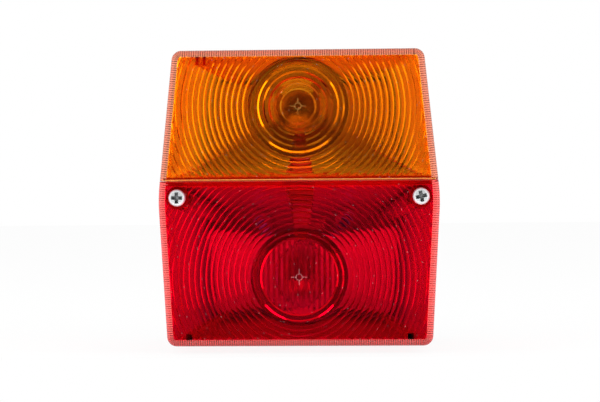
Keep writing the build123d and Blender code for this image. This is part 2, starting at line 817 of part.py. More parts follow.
pieces = {
    "base_housing": base_housing.part,
    "upper_reflector": reflector(amber_axis_z, upper_reflector_bottom, upper_reflector_top),
    "lower_reflector": reflector(red_axis_z, lower_reflector_bottom, lower_reflector_top),
    "lens_seal": lens_seal.part,
    "amber_lens": amber_lens.part,
    "red_lens": red_lens.part,
    "lens_screws": lens_screws.part,
    "cable_grommet": cable_grommet.part,
    "earth_strip": earth_strip.part,
    "strip_rivets": strip_rivets.part,
    "contact_rivets": contact_rivets.part,
    "upper_bulb_socket": bulb_socket(amber_axis_z, level_pins),
    "lower_bulb_socket": bulb_socket(red_axis_z, staggered_pins),
    "indicator_contact": leaf_contact(amber_axis_z, contact_overrun),
    "tail_contact": tail_contact,
    "stop_contact": mirror(tail_contact, about=Plane.YZ),
    "indicator_bulb_glass": bulb_glass(amber_axis_z),
    "indicator_bulb_cap": bulb_cap(amber_axis_z, level_pins),
    "indicator_bulb_insulator": bulb_insulator(amber_axis_z),
    "indicator_bulb_tip": bulb_tips(amber_axis_z, (0,)),
    "indicator_bulb_stem": bulb_stem(amber_axis_z),
    "indicator_bulb_filament": bulb_filaments(amber_axis_z, (0,)),
    "stop_tail_bulb_glass": bulb_glass(red_axis_z),
    "stop_tail_bulb_cap": bulb_cap(red_axis_z, staggered_pins),
    "stop_tail_bulb_insulator": bulb_insulator(red_axis_z),
    "stop_tail_bulb_tips": bulb_tips(red_axis_z, twin_tips),
    "stop_tail_bulb_stem": bulb_stem(red_axis_z),
    "stop_tail_bulb_filaments": bulb_filaments(red_axis_z, twin_filaments),
}

os.makedirs("parts", exist_ok=True)
for name, piece in pieces.items():
    piece.label = name
    export_step(piece, f"parts/{name}.step")
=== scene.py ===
import json
from math import cos, hypot, pi, radians, sin, tan

import bmesh
import bpy
from mathutils import Matrix, Vector
from mathutils.kdtree import KDTree


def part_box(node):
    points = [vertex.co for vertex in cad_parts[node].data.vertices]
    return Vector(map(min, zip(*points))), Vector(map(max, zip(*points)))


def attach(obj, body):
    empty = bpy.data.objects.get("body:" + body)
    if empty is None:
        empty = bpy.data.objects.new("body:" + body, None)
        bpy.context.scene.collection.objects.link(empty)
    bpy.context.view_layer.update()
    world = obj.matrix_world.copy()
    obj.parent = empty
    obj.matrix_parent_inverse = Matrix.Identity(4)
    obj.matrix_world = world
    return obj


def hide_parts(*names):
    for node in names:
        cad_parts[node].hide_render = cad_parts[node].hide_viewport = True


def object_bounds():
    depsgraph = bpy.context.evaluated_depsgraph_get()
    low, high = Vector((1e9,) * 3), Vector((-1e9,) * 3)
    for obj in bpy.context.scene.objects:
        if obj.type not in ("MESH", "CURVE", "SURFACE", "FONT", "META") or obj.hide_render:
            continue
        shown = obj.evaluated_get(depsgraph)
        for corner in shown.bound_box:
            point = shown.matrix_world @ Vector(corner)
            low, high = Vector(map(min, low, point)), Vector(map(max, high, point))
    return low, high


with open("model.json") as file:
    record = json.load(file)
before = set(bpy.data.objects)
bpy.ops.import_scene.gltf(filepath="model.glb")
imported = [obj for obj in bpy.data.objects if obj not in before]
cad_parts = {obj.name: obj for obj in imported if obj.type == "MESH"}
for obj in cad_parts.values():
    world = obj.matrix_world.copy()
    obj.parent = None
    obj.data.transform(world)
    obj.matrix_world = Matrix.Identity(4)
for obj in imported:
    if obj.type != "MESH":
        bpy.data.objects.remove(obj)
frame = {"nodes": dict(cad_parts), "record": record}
cad_low, cad_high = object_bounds()

# Sizes, in metres. X is across the lamp, Z is up, and depth is the distance in front of the panel at Y = 0
MM = 0.001

# Outline and walls of the lenses
LENS_HEIGHT = 105 * MM
LENS_WIDTH_TOP = 89 * MM
LENS_WIDTH_WAIST = 100 * MM
LENS_WIDTH_BOTTOM = 94 * MM
CORNER_RADIUS = 3.5 * MM
WAIST_RADIUS = 60 * MM
LENS_DRAFT = tan(radians(1))
LENS_WALL = 2.0 * MM
FRONT_THICKNESS = 2.4 * MM
EDGE_RADIUS = 2.0 * MM
INNER_RADIUS = 1.4 * MM
FLUTE_PITCH = 0.8 * MM
FLUTE_DEPTH = 0.12 * MM
TICK_DEPTH = 0.05 * MM
BAND_MARGIN = 0.45 * MM
CLEAR_WALL = 1.5 * MM

# Joint between the lenses
JOINT_GAP = 0.2 * MM
AMBER_JOINT_WALL = 1.2 * MM
RED_JOINT_WALL = 1.8 * MM
JOINT_WALL_LENGTH = 4 * MM
JOINT_BEVEL = 0.4 * MM

# Ribs inside the top and the bottom of the lenses
GUIDE_RIB_X = -34.5 * MM
GUIDE_RIB_THICKNESS = 1.1 * MM
GUIDE_RIB_SPACING = 2.5 * MM
GUIDE_RIB_HEIGHT = 3.2 * MM
FOOT_RIB_X = 39.3 * MM
FOOT_RIB_THICKNESS = 2.2 * MM
FOOT_RIB_HEIGHT = 2.4 * MM
RIB_START = 14 * MM

# Rings and centres of the lenses
RING_PITCH = 2.0 * MM
FOCUS_RADIUS = 18 * MM
FOCUS_CURVATURE = 34 * MM
BEVEL_WIDTH = 0.6 * MM
BEVEL_SLOPE = tan(radians(41))
FACET_SLOPES = (radians(17), radians(31), radians(41))
AMBER_FACET_WIDTHS = (0.8 * MM, 0.4 * MM, 0.8 * MM)
RED_FACET_WIDTHS = (1.2 * MM, 0.4 * MM, 0.4 * MM)
AMBER_AXIS_Z = 32.4 * MM
AMBER_CENTRE_RADIUS = 5.9 * MM
AMBER_BULGE = 0.15 * MM
RED_AXIS_Z = -28 * MM
RED_CENTRE_RADIUS = 13.3 * MM
RED_FLUTE_PITCH = 1.9 * MM
RED_FLUTE_HEIGHT = 0.35 * MM

# Engraved centre marks, and the depths between which the middle of one of their faces lies
MARK_RADIUS = 1.1 * MM
MARK_REACH = 2.9 * MM
MARK_WIDTH = 0.14 * MM
MARK_DEPTH = 0.08 * MM
MARK_SHALLOWEST = MARK_DEPTH / 4
MARK_DEEPEST = MARK_DEPTH * 2

# Lens screws and their seats
SCREW_X = 43.25 * MM
SCREW_Z = 0.3 * MM
BOSS_RADIUS = 4.0 * MM
BOSS_LENGTH = 4.0 * MM
RECESS_RADIUS = 3.5 * MM
RECESS_DEPTH = 1.8 * MM
SHANK_HOLE_RADIUS = 1.65 * MM
HEAD_RADIUS = 3.0 * MM
HEAD_RIM = 0.9 * MM
HEAD_CROWN = 0.6
SHANK_RADIUS = 1.45 * MM
THREAD_ROOT = 1.1 * MM
THREAD_PITCH = 1.1 * MM
CROSS_SPAN = 4.3 * MM
CROSS_WIDTH = 1.35 * MM
CROSS_DEPTH = 1.8 * MM
CROSS_TAPER = 0.7
SCREW_TURNS = (radians(0), radians(12))

# Filaments
COIL_TURNS = 14
COIL_RADIUS = 0.4 * MM
COIL_WIRE_RADIUS = 0.1 * MM
SUPPORT_RADIUS = 0.3 * MM
FILAMENT_SPACING = 3.2 * MM

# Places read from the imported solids, and those that follow from them
LENS_FRONT = -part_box("amber_lens")[0].y
LENS_RIM = -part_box("amber_lens")[1].y
JOINT_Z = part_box("amber_lens")[0].z
FRONT_INSIDE = LENS_FRONT - FRONT_THICKNESS
CORNER_START = FRONT_INSIDE - INNER_RADIUS - CLEAR_WALL
HEAD_SEAT = LENS_FRONT - RECESS_DEPTH
HEAD_TOP = -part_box("lens_screws")[0].y
SCREW_TIP = -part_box("lens_screws")[1].y

# Fineness of the meshes
RING_SEGMENTS = 256
CYLINDER_SEGMENTS = 64
MARK_SEGMENTS = 48
SCREW_SEGMENTS = 96
WIRE_SIDES = 8
COIL_TURN_STEPS = 12
LEAST_ARC_STEPS = 4
EDGE_STEPS = 8
INNER_STEPS = 6
BULGE_STEPS = 10
HEAD_STEPS = 10
LENS_SMOOTH_ANGLE = radians(20)
SCREW_SMOOTH_ANGLE = radians(35)
WIRE_SMOOTH_ANGLE = radians(60)

# Cutting shapes run this far past the faces that they cut
OVERLAP = 0.5 * MM

# Parts of a face's normal from which the face counts as flat, facing, turned or just turned to a side
FLAT = 0.99999
FACING = 0.9
TURNED = 0.3
JUST_TURNED = 0.05

# Places on the colour ramp of a lens, which is clear at 0 and satin at 1. The pale mark place is also
# painted highlight and painted light, and the dark tick place is also painted shade at the joint
MARK_AND_PAINTED_LIGHT_SHARE = 0.5
CORNER_SHARE = 0.62
TICK_AND_PAINTED_SHADE_SHARE = 0.75
SATIN_SHARE = 1.0

# Finish of the clear materials
WHITE = (1, 1, 1)
CLEAR_IOR = 1.49
GLOSS_GRAIN = 2.5 * MM
GLOSS_SPREAD = 0.5
FROST_ROUGHNESS = 0.6
SATIN_ROUGHNESS = 0.25
SATIN_CLEARNESS = 0.45
# Darkness of the ticks, also used as painted shade at the joint
TICK_AND_PAINTED_SHADE_TONE = 0.45
SPECK_SPACING = 6 * MM
SPECK_RADIUS = 0.11 * MM
SPECK_CLEARNESS = 0.8

# Finish of the opaque materials, whose tone varies over many times the width of their grain
GRAIN_DETAIL = 3
TONE_DETAIL = 6
TONE_SPREAD = 24

# Camera, fitted to the lamp's outline in the photograph's frame
CAMERA_TARGET = Vector((0.45, -58.5, -1.12)) * MM
CAMERA_DISTANCE = 500 * MM
CAMERA_YAW = radians(2.08)
CAMERA_PITCH = radians(-0.35)
CAMERA_ROLL = radians(0.44)
CAMERA_FOCAL_PIXELS = 1413
CAMERA_SENSOR = 36
FRAME_WIDTH_PIXELS = 600

# Floor
FLOOR_REACH = 2
FLOOR_MARGIN = 10 * MM
FLOOR_COLOUR = (0.9, 0.9, 0.9)
FLOOR_GLOW = 0.9

# Studio. Its light fades to the front and to the back, by the part of a direction that lies along Y
FRONT_FADE_START = -0.9
FRONT_FADE_END = -0.3
FRONT_STRENGTH = 0.02
BACK_FADE_START = 0.95
BACK_FADE_END = 0.98
BACK_STRENGTH = 0.03
SOFT_STRENGTH = 0.85

# Lamps, in metres and watts
LAMP_AIM = Vector((0, -0.03, 0))
SIDE_LAMP_X = 0.6
SIDE_LAMP_Y = -0.25
SIDE_LAMP_Z = 0.1
SIDE_LAMP_SIZE = (0.5, 0.7)
SIDE_LAMP_POWER = 3.6
LOW_LAMP_PLACE = (0, -0.6, -0.45)
LOW_LAMP_SIZE = (0.9, 0.5)
LOW_LAMP_POWER = 10


# Meshes

def point(x, depth, z):
    return Vector((x, -depth, z))


def mesh_object(name, points, faces):
    mesh = bpy.data.meshes.new(name)
    mesh.from_pydata(points, [], faces)
    bm = bmesh.new()
    bm.from_mesh(mesh)
    bmesh.ops.recalc_face_normals(bm, faces=bm.faces)
    bm.to_mesh(mesh)
    bm.free()
    piece = bpy.data.objects.new(name, mesh)
    bpy.context.scene.collection.objects.link(piece)
    return piece


def stack(name, loops):
    """Closed solid through a stack of loops with equal numbers of points."""
    count = len(loops[0])
    points = [place for loop in loops for place in loop]
    faces = [list(range(count)), list(range(len(points) - count, len(points)))]
    for level in range(len(loops) - 1):
        low = level * count
        for i in range(count):
            j = (i + 1) % count
            faces.append((low + i, low + j, low + count + j, low + count + i))
    return mesh_object(name, points, faces)


def lathe(name, profile, centre, segments=RING_SEGMENTS):
    """Closed solid of revolution round a line along Y. The profile is a closed line of (radius, depth)."""
    points = []
    rings = []
    for radius, depth in profile:
        start = len(points)
        turns = 1 if radius == 0 else segments
        for i in range(turns):
            angle = 2 * pi * i / segments
            points.append(point(centre[0] + radius * cos(angle), depth, centre[1] + radius * sin(angle)))
        rings.append([start + i % turns for i in range(segments)])
    faces = []
    for ring, following in zip(rings, rings[1:] + rings[:1]):
        for i in range(segments):
            j = (i + 1) % segments
            corners = dict.fromkeys((ring[i], ring[j], following[j], following[i]))
            if len(corners) > 2:
                faces.append(tuple(corners))
    return mesh_object(name, points, faces)


def cylinder(name, centre, radius, start, end):
    profile = [(0, start), (radius, start), (radius, end), (0, end)]
    return lathe(name, profile, centre, CYLINDER_SEGMENTS)


def block(name, low, high):
    """Box between two corners, given as (x, depth, z)."""
    corners = ((low[0], low[2]), (high[0], low[2]), (high[0], high[2]), (low[0], high[2]))
    return stack(name, [[point(x, depth, z) for x, z in corners] for depth in (low[1], high[1])])


def wire(name, path, radius):
    """Round wire along a line of points that never runs straight along X."""
    angles = [2 * pi * side / WIRE_SIDES for side in range(WIRE_SIDES)]
    loops = []
    for i, place in enumerate(path):
        along = (path[min(i + 1, len(path) - 1)] - path[max(i - 1, 0)]).normalized()
        across = along.cross(Vector((1, 0, 0))).normalized()
        upward = across.cross(along)
        loops.append([place + (across * cos(angle) + upward * sin(angle)) * radius for angle in angles])
    return stack(name, loops)


def join(name, pieces):
    """One object from the meshes of several, which it replaces."""
    bm = bmesh.new()
    for piece in pieces:
        bm.from_mesh(piece.data)
        bpy.data.objects.remove(piece)
    mesh = bpy.data.meshes.new(name)
    bm.to_mesh(mesh)
    bm.free()
    whole = bpy.data.objects.new(name, mesh)
    bpy.context.scene.collection.objects.link(whole)
    return whole


def combine(target, tool, operation):
    """Applies a boolean and deletes the tool."""
    modifier = target.modifiers.new("combine", "BOOLEAN")
    modifier.operation = operation
    modifier.solver = "MANIFOLD"
    modifier.object = tool
    depsgraph = bpy.context.evaluated_depsgraph_get()
    mesh = bpy.data.meshes.new_from_object(target.evaluated_get(depsgraph))
    target.modifiers.clear()
    target.data = mesh
    bpy.data.objects.remove(tool)
    return target


def smooth(piece, angle):
    """Smooth shading, with sharp edges by angle and round every flat front face."""
    mesh = piece.data
    bm = bmesh.new()
    bm.from_mesh(mesh)
    for face in bm.faces:
        face.smooth = True
    for edge in bm.edges:
        if len(edge.link_faces) == 2:
            fronts = [face.normal.y < -FLAT for face in edge.link_faces]
            edge.smooth = edge.calc_face_angle() < angle and fronts[0] == fronts[1]
    bm.to_mesh(mesh)
    bm.free()
    return piece


# The lamp's outline

def outline_corners():
    top = LENS_HEIGHT / 2
    right = ((LENS_WIDTH_TOP / 2, top), (LENS_WIDTH_WAIST / 2, 0), (LENS_WIDTH_BOTTOM / 2, -top))
    left = tuple((-x, z) for x, z in reversed(right))
    radii = (CORNER_RADIUS, WAIST_RADIUS, CORNER_RADIUS) * 2
    return [(Vector(corner), radius) for corner, radius in zip(right + left, radii)]


def outline():
    """Points on the outline with their outward normals, about half a flute apart."""
    spacing = FLUTE_PITCH / 2
    corners = outline_corners()
    count = len(corners)
    arcs = []
    for i, (corner, radius) in enumerate(corners):
        before = (corners[i - 1][0] - corner).normalized()
        after = (corners[(i + 1) % count][0] - corner).normalized()
        half = before.angle(after) / 2
        centre = corner + (before + after).normalized() * (radius / sin(half))
        start = corner + before * (radius / tan(half))
        end = corner + after * (radius / tan(half))
        arcs.append((centre, start, end, radius))
    samples = []
    for i, (centre, start, end, radius) in enumerate(arcs):
        first = (start - centre).normalized()
        last = (end - centre).normalized()
        turn = first.angle(last)
        steps = max(LEAST_ARC_STEPS, round(turn * radius / spacing))
        for step in range(steps):
            angle = turn * step / steps
            normal = (first * sin(turn - angle) + last * sin(angle)) / sin(turn)
            samples.append((centre + normal * radius, normal))
        samples.append((end, last))
        following = arcs[(i + 1) % count][1]
        steps = max(1, round((following - end).length / spacing))
        for step in range(1, steps):
            samples.append((end.lerp(following, step / steps), last))
    return samples


def outline_loop(samples, grow, depth, flute=0):
    """The outline grown outward, with every second point moved out by the depth of a flute."""
    loop = []
    for i, (place, normal) in enumerate(samples):
        moved = place + normal * (grow + flute * (i % 2))
        loop.append(point(moved.x, depth, moved.y))
    return loop


def outline_tree(samples):
    """Finds the sample that ends the nearest stretch of the outline."""
    tree = KDTree(len(samples))
    for i, (place, _) in enumerate(samples):
        middle = (place + samples[i - 1][0]) / 2
        tree.insert((middle.x, 0, middle.y), i)
    tree.balance()
    return tree


# Shapes of the lenses

def lens_skin(name):
    """Outside of both lenses: drafted sides, and a rounded front edge with fine ticks."""
    samples = outline()
    loops = [outline_loop(samples, (LENS_FRONT - LENS_RIM) * LENS_DRAFT, LENS_RIM)]
    for step in range(EDGE_STEPS + 1):
        angle = pi / 2 * step / EDGE_STEPS
        grow = EDGE_RADIUS * (cos(angle) - 1 + LENS_DRAFT)
        tick = -TICK_DEPTH if 0 < step < EDGE_STEPS else 0
        loops.append(outline_loop(samples, grow, LENS_FRONT - EDGE_RADIUS * (1 - sin(angle)), tick))
    loops.append(outline_loop(samples, grow - BAND_MARGIN, LENS_FRONT))
    return stack(name, loops)


def lens_cavity(name):
    """Space inside both lenses, rounded at its front. Its walls are fluted along their depth."""
    samples = outline()
    levels = [(LENS_RIM - OVERLAP, 0), (CORNER_START, 0)]
    for step in range(INNER_STEPS + 1):
        angle = pi / 2 * step / INNER_STEPS
        levels.append((FRONT_INSIDE - INNER_RADIUS * (1 - sin(angle)), INNER_RADIUS * (1 - cos(angle))))
    loops = []
    for depth, shrink in levels:
        grow = (LENS_FRONT - depth) * LENS_DRAFT - LENS_WALL - shrink
        loops.append(outline_loop(samples, grow, depth, FLUTE_DEPTH))
    return stack(name, loops)


def focusing_tooth(radius):
    """Ring near the lamp axis, tallest at its inner edge: together they are a flattened magnifying lens."""
    crest = FRONT_INSIDE - RING_PITCH * radius / FOCUS_CURVATURE
    foot = min(FRONT_INSIDE, crest + BEVEL_WIDTH * BEVEL_SLOPE)
    return [(radius, foot), (radius + BEVEL_WIDTH, crest), (radius + RING_PITCH, FRONT_INSIDE)]


def spreading_tooth(radius, widths):
    """Ring further out: its slope grows towards its outer edge, where it throws light far to the side."""
    depth = FRONT_INSIDE
    points = [(radius, depth)]
    for width, slope in zip(widths, FACET_SLOPES):
        radius += width
        depth -= width * tan(slope)
        points.append((radius, depth))
    return points


def ring_teeth(name, first_radius, axis_z, widths):
    """Rings on the inside of the lens front."""
    reach = hypot(LENS_WIDTH_WAIST, LENS_HEIGHT) / 2
    profile = []
    radius = first_radius
    while radius < reach:
        focusing = radius + RING_PITCH / 2 < FOCUS_RADIUS
        profile += focusing_tooth(radius) if focusing else spreading_tooth(radius, widths)
        radius += RING_PITCH
    profile += [(radius, FRONT_INSIDE + OVERLAP), (first_radius, FRONT_INSIDE + OVERLAP)]
    return lathe(name, profile, (0, axis_z))


def amber_centre(name):
    """Slight bulge at the middle of the amber lens."""
    sphere = (AMBER_CENTRE_RADIUS**2 + AMBER_BULGE**2) / (2 * AMBER_BULGE)
    profile = []
    for step in range(BULGE_STEPS + 1):
        radius = AMBER_CENTRE_RADIUS * step / BULGE_STEPS
        rise = (sphere**2 - radius**2) ** 0.5 - sphere + AMBER_BULGE
        profile.append((radius, FRONT_INSIDE - rise))
    profile += [(AMBER_CENTRE_RADIUS, FRONT_INSIDE + OVERLAP), (0, FRONT_INSIDE + OVERLAP)]
    return lathe(name, profile, (0, AMBER_AXIS_Z))


def red_centre(name):
    """Fine upright flutes on the disc at the middle of the red lens."""
    count = round(2 * RED_CENTRE_RADIUS / RED_FLUTE_PITCH)
    pitch = 2 * RED_CENTRE_RADIUS / count
    low = FRONT_INSIDE - OVERLAP
    high = FRONT_INSIDE + OVERLAP
    section = [(-RED_CENTRE_RADIUS, FRONT_INSIDE)]
    for i in range(count):
        crest = (i + 0.5) * pitch - RED_CENTRE_RADIUS
        section.append((crest, FRONT_INSIDE - RED_FLUTE_HEIGHT))
        section.append((crest + pitch / 2, FRONT_INSIDE))
    section += [(RED_CENTRE_RADIUS, high), (-RED_CENTRE_RADIUS, high)]
    ends = (RED_AXIS_Z - RED_CENTRE_RADIUS, RED_AXIS_Z + RED_CENTRE_RADIUS)
    flutes = stack(name, [[point(x, depth, z) for x, depth in section] for z in ends])
    disc = cylinder("disc", (0, RED_AXIS_Z), RED_CENTRE_RADIUS, low, high)
    return combine(flutes, disc, "INTERSECT")


def centre_mark(axis_z):
    """Shapes of a small engraved circle with four ticks, on the axis of the rings."""
    low = LENS_FRONT - MARK_DEPTH
    high = LENS_FRONT + OVERLAP
    half = MARK_WIDTH / 2
    inner = MARK_RADIUS - half
    outer = MARK_RADIUS + half
    profile = [(inner, low), (outer, low), (outer, high), (inner, high)]
    shapes = [lathe("mark", profile, (0, axis_z), MARK_SEGMENTS)]
    for side in (-1, 1):
        near, far = sorted((side * MARK_RADIUS, side * MARK_REACH))
        shapes.append(block("tick", (near, low, axis_z - half), (far, high, axis_z + half)))
        shapes.append(block("tick", (-half, low, axis_z + near), (half, high, axis_z + far)))
    return shapes


def joint_wall(name, low_z, high_z):
    reach = LENS_WIDTH_WAIST
    return block(name, (-reach, FRONT_INSIDE - JOINT_WALL_LENGTH, low_z), (reach, LENS_FRONT, high_z))


def joint_bevel(name, upward):
    """Wedge that bevels the front edge along the joint of the lens above it or below it."""
    reach = LENS_WIDTH_WAIST
    past = JOINT_Z - upward * OVERLAP
    section = (
        (LENS_FRONT + OVERLAP, JOINT_Z + upward * (JOINT_BEVEL + OVERLAP)),
        (LENS_FRONT + OVERLAP, past),
        (LENS_FRONT - JOINT_BEVEL - OVERLAP, past),
    )
    return stack(name, [[point(x, depth, z) for depth, z in section] for x in (-reach, reach)])


def rib(name, x, thickness, low_z, high_z):
    return block(name, (x - thickness / 2, RIB_START, low_z), (x + thickness / 2, LENS_FRONT, high_z))


# Marks on the faces of the lenses, which their materials read. Some are painted highlight, painted light
# and painted shade

def on_mark(place):
    """Whether a place on a lens is in an engraved centre mark."""
    below_front = LENS_FRONT + place.y
    from_axis = min(hypot(place.x, place.z - axis_z) for axis_z in (AMBER_AXIS_Z, RED_AXIS_Z))
    return from_axis < MARK_REACH and MARK_SHALLOWEST < below_front < MARK_DEEPEST


def is_frosted(face, inward):
    """Whether a face is matt: on the inside of a wall, short of its clear front end, or on a joint wall."""
    depth = -face.center.y
    from_joint = abs(face.center.z - JOINT_Z)
    inside_wall = inward > 0 and depth < CORNER_START and abs(face.normal.y) < TURNED
    on_joint_wall = JOINT_GAP < from_joint < RED_JOINT_WALL + JOINT_GAP and depth < FRONT_INSIDE
    return inside_wall or on_joint_wall


def satin_share(face, inward, outward, away, stretch):
    """Place of a face on the colour ramp. The nearest stretch of the outline has a number, a distance away
    and an outward normal."""
    depth = -face.center.y
    above = face.center.z > JOINT_Z
    from_joint = abs(face.center.z - JOINT_Z)
    near_joint = from_joint <= AMBER_JOINT_WALL + OVERLAP and depth <= FRONT_INSIDE
    on_wall = near_joint and (face.normal.y > FACING or face.normal.z > FACING)
    on_bevel = depth > LENS_FRONT - JOINT_BEVEL and from_joint < JOINT_BEVEL
    near_end = abs(outward.y) > FACING and away < LENS_WALL + GUIDE_RIB_HEIGHT
    on_rib = near_end and abs(face.normal.x) > FACING
    near_corner = CORNER_START < depth < FRONT_INSIDE and away < LENS_WALL + INNER_RADIUS
    in_corner = near_corner and inward > TURNED
    near_edge = depth > LENS_FRONT - EDGE_RADIUS and away < EDGE_RADIUS + BAND_MARGIN
    on_edge = near_edge and face.normal.y < -JUST_TURNED and from_joint > JOINT_BEVEL + JOINT_GAP
    # Pale in the marks; pale on the upper bevel as a painted highlight, and along the bottom as painted
    # light; dark on the joint as painted shade; half way on ribs and in corners; and satin and dark by
    # turns round the front edge
    share = 0.0
    if on_mark(face.center) or on_bevel and above:
        share = MARK_AND_PAINTED_LIGHT_SHARE
    # Painted shade: dark on the lower bevel and on the amber joint wall
    elif on_bevel or on_wall and above:
        share = TICK_AND_PAINTED_SHADE_SHARE
    elif on_rib:
        share = CORNER_SHARE
    elif in_corner:
        # Painted light: pale along the bottom inside corner
        share = MARK_AND_PAINTED_LIGHT_SHARE if outward.y < -FACING else CORNER_SHARE
    elif on_edge:
        share = SATIN_SHARE if stretch % 2 else TICK_AND_PAINTED_SHADE_SHARE
    return share


def mark_faces(lens):
    """Marks the matt faces of a lens, and those that are satin, pale or dark, where pale and dark also
    serve as painted highlight, painted light and painted shade.
    """
    frost = lens.data.attributes.new("frost", "FLOAT", "FACE")
    satin = lens.data.attributes.new("satin", "FLOAT", "FACE")
    samples = outline()
    tree = outline_tree(samples)
    for face in lens.data.polygons:
        _, stretch, away = tree.find((face.center.x, 0, face.center.z))
        outward = samples[stretch][1]
        inward = -(face.normal.x * outward.x + face.normal.z * outward.y)
        frost.data[face.index].value = float(is_frosted(face, inward))
        satin.data[face.index].value = satin_share(face, inward, outward, away, stretch)
    return lens


# Lenses

def make_amber_lens():
    top = LENS_HEIGHT / 2
    rib_low = top - LENS_WALL - GUIDE_RIB_HEIGHT
    inside = [
        ring_teeth("rings", AMBER_CENTRE_RADIUS, AMBER_AXIS_Z, AMBER_FACET_WIDTHS),
        amber_centre("bulge"),
        joint_wall("wall", -LENS_HEIGHT, JOINT_Z + AMBER_JOINT_WALL),
    ]
    for side in (-1, 1):
        x = GUIDE_RIB_X + side * GUIDE_RIB_SPACING / 2
        inside.append(rib("guide_rib", x, GUIDE_RIB_THICKNESS, rib_low, top))
    cavity = lens_cavity("cavity")
    for shape in inside:
        combine(cavity, shape, "DIFFERENCE")
    lens = combine(lens_skin("amber_lens_moulding"), cavity, "DIFFERENCE")
    reach = LENS_WIDTH_WAIST
    below = block("below", (-reach, 0, -reach), (reach, reach, JOINT_Z + JOINT_GAP / 2))
    for shape in (below, joint_bevel("bevel", 1), *centre_mark(AMBER_AXIS_Z)):
        combine(lens, shape, "DIFFERENCE")
    return mark_faces(smooth(lens, LENS_SMOOTH_ANGLE))


def make_red_lens():
    bottom = -LENS_HEIGHT / 2
    rib_high = bottom + LENS_WALL + FOOT_RIB_HEIGHT
    screw_places = [(side * SCREW_X, SCREW_Z) for side in (-1, 1)]
    inside = [
        ring_teeth("rings", RED_CENTRE_RADIUS, RED_AXIS_Z, RED_FACET_WIDTHS),
        red_centre("flutes"),
        joint_wall("wall", JOINT_Z - RED_JOINT_WALL, LENS_HEIGHT),
    ]
    for side, place in zip((-1, 1), screw_places):
        inside.append(rib("foot_rib", side * FOOT_RIB_X, FOOT_RIB_THICKNESS, bottom, rib_high))
        inside.append(cylinder("boss", place, BOSS_RADIUS, FRONT_INSIDE - BOSS_LENGTH, LENS_FRONT))
    cavity = lens_cavity("cavity")
    for shape in inside:
        combine(cavity, shape, "DIFFERENCE")
    lens = combine(lens_skin("red_lens_moulding"), cavity, "DIFFERENCE")
    for place in screw_places:
        recess = cylinder("recess", place, RECESS_RADIUS, HEAD_SEAT, LENS_FRONT + OVERLAP)
        combine(lens, recess, "DIFFERENCE")
        hole = cylinder("hole", place, SHANK_HOLE_RADIUS, LENS_RIM, LENS_FRONT)
        combine(lens, hole, "DIFFERENCE")
    reach = LENS_WIDTH_WAIST
    above = block("above", (-reach, 0, JOINT_Z - JOINT_GAP / 2), (reach, reach, reach))
    for shape in (above, joint_bevel("bevel", -1), *centre_mark(RED_AXIS_Z)):
        combine(lens, shape, "DIFFERENCE")
    return mark_faces(smooth(lens, LENS_SMOOTH_ANGLE))


# Lens screws

def cross_slot(name, centre, turn):
    """Tapered slot of a cross recess, wider at the top of the head."""
    loops = []
    for depth, share in ((HEAD_TOP + OVERLAP / 2, 1), (HEAD_TOP - CROSS_DEPTH, CROSS_TAPER)):
        loop = []
        for along, across in ((-1, -1), (1, -1), (1, 1), (-1, 1)):
            x = along * share * CROSS_SPAN / 2
            z = across * share * CROSS_WIDTH / 2
            loop.append(point(
                centre[0] + x * cos(turn) - z * sin(turn),
                depth,
                centre[1] + x * sin(turn) + z * cos(turn),
            ))
        loops.append(loop)
    return stack(name, loops)


def make_screw(centre, turn):
    """Pan-head screw with a cross recess and a threaded shank."""
    profile = [(0, SCREW_TIP)]
    for thread in range(int((HEAD_SEAT - SCREW_TIP) / THREAD_PITCH)):
        start = SCREW_TIP + THREAD_PITCH * thread
        profile.append((THREAD_ROOT, start))
        profile.append((SHANK_RADIUS, start + THREAD_PITCH / 2))
    profile += [(SHANK_RADIUS, HEAD_SEAT), (HEAD_RADIUS, HEAD_SEAT)]
    for step in range(HEAD_STEPS):
        angle = pi / 2 * step / HEAD_STEPS
        radius = HEAD_RADIUS * cos(angle) ** HEAD_CROWN
        profile.append((radius, HEAD_SEAT + HEAD_RIM + (HEAD_TOP - HEAD_SEAT - HEAD_RIM) * sin(angle)))
    profile.append((0, HEAD_TOP))
    screw = lathe("screw", profile, centre, SCREW_SEGMENTS)
    for quarter in (0, pi / 2):
        combine(screw, cross_slot("slot", centre, turn + quarter), "DIFFERENCE")
    return smooth(screw, SCREW_SMOOTH_ANGLE)


# Filaments

def make_filament(node, axis_z, shifts):
    """Coiled wires between pairs of support wires."""
    low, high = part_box(node)
    foot = -high.y
    top = -low.y - COIL_RADIUS - COIL_WIRE_RADIUS
    half = high.x - SUPPORT_RADIUS
    steps = COIL_TURNS * COIL_TURN_STEPS
    pieces = []
    for shift in shifts:
        z = axis_z + shift
        for side in (-1, 1):
            path = [point(side * half, foot, z), point(side * half, top, z)]
            pieces.append(wire("support", path, SUPPORT_RADIUS))
        path = []
        for step in range(steps + 1):
            angle = 2 * pi * COIL_TURNS * step / steps
            x = half * (2 * step / steps - 1)
            path.append(point(x, top + COIL_RADIUS * cos(angle), z + COIL_RADIUS * sin(angle)))
        pieces.append(wire("coil", path, COIL_WIRE_RADIUS))
    return smooth(join(node + "_coil", pieces), WIRE_SMOOTH_ANGLE)


# Nodes of the materials

def rgba(colour, share=1):
    """A share of a colour, with full cover."""
    return (*[min(1, share * part) for part in colour], 1)


def add_node(tree, kind, inputs=None, **settings):
    """Adds a node. Each input takes a value or is linked to another node's output."""
    node = tree.nodes.new(kind)
    for name, value in settings.items():
        setattr(node, name, value)
    for name, value in (inputs or {}).items():
        if isinstance(value, bpy.types.NodeSocket):
            tree.links.new(value, node.inputs[name])
        else:
            node.inputs[name].default_value = value
    return node


def add_math(tree, operation, first, second):
    return add_node(tree, "ShaderNodeMath", {0: first, 1: second}, operation=operation).outputs[0]


